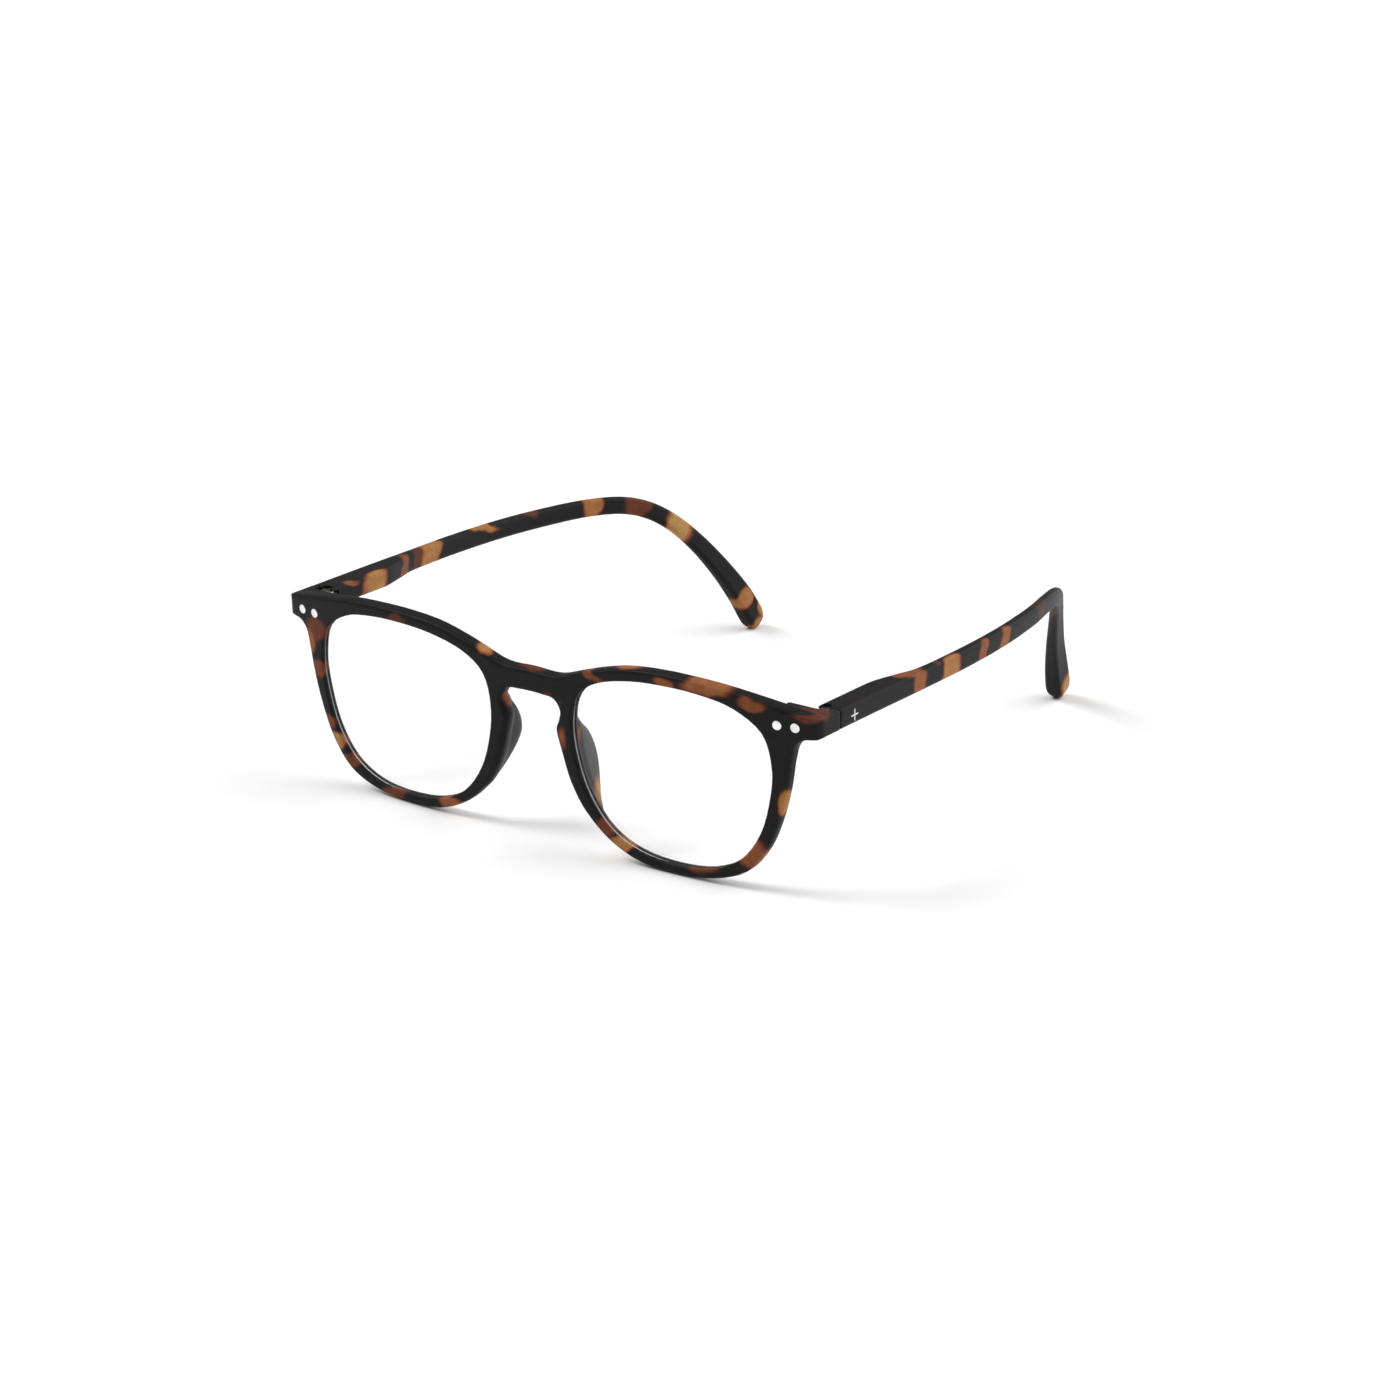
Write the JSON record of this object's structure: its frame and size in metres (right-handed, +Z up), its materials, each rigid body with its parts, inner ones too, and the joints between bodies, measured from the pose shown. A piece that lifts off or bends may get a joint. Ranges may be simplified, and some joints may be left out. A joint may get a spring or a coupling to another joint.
{
  "type": "folding reading glasses",
  "caption": "Keyhole-bridge reading glasses with clear lenses, moulded nose pads, front rivets and temples that fold on spring hinges.",
  "frame": {"origin": "on the floor, at the middle of the glasses' footprint", "axes": "+Z up; the lenses face -Y and the open temples run back along +Y; +X is the side on the right when the lenses are looked at from the front"},
  "size_m": [0.1414, 0.1476, 0.0451],
  "materials": {
    "tortoiseshell": "matte soft-touch",
    "lens": "clear polished",
    "rivet": "satin",
    "hinge_metal": "satin nickel silver",
    "screw": "satin",
    "cassette": "satin",
    "brass": "satin",
    "spring_steel": "bright drawn wire"
  },
  "bodies": {
    "front": {"front_frame": "tortoiseshell", "right_lens": "lens", "left_lens": "lens", "right_outer_rivet": "rivet", "right_inner_rivet": "rivet", "left_outer_rivet": "rivet", "left_inner_rivet": "rivet", "right_front_hinge_leaf": "hinge_metal", "left_front_hinge_leaf": "hinge_metal", "right_hinge_screw": "screw", "left_hinge_screw": "screw"},
    "right_carriage": {"right_hinge_carriage": "hinge_metal", "right_rod_nut": "brass"},
    "left_carriage": {"left_hinge_carriage": "hinge_metal", "left_rod_nut": "brass"},
    "right_temple": {"right_temple": "tortoiseshell", "right_spring_cassette": "cassette", "right_hinge_spring": "spring_steel"},
    "left_temple": {"left_temple": "tortoiseshell", "left_spring_cassette": "cassette", "left_hinge_spring": "spring_steel"}
  },
  "joints": [
    {"name": "right_temple_fold", "type": "hinge", "parent": "front", "child": "right_carriage", "pos_m": [0.0667, -0.06011, 0.03868], "axis": [0, 0, 1], "range_deg": [0, 81.5]},
    {"name": "right_spring_stroke", "type": "slide", "parent": "right_carriage", "child": "right_temple", "axis": [0, 1, 0], "range_m": [0, 0.0012], "stiffness_N_per_m": 900, "springref_m": -0.001, "deforming": ["right_hinge_spring"]},
    {"name": "left_temple_fold", "type": "hinge", "parent": "front", "child": "left_carriage", "pos_m": [-0.0667, -0.06011, 0.03868], "axis": [0, 0, -1], "range_deg": [0, 72.5]},
    {"name": "left_spring_stroke", "type": "slide", "parent": "left_carriage", "child": "left_temple", "axis": [0, 1, 0], "range_m": [0, 0.0012], "stiffness_N_per_m": 900, "springref_m": -0.001, "deforming": ["left_hinge_spring"]}
  ]
}
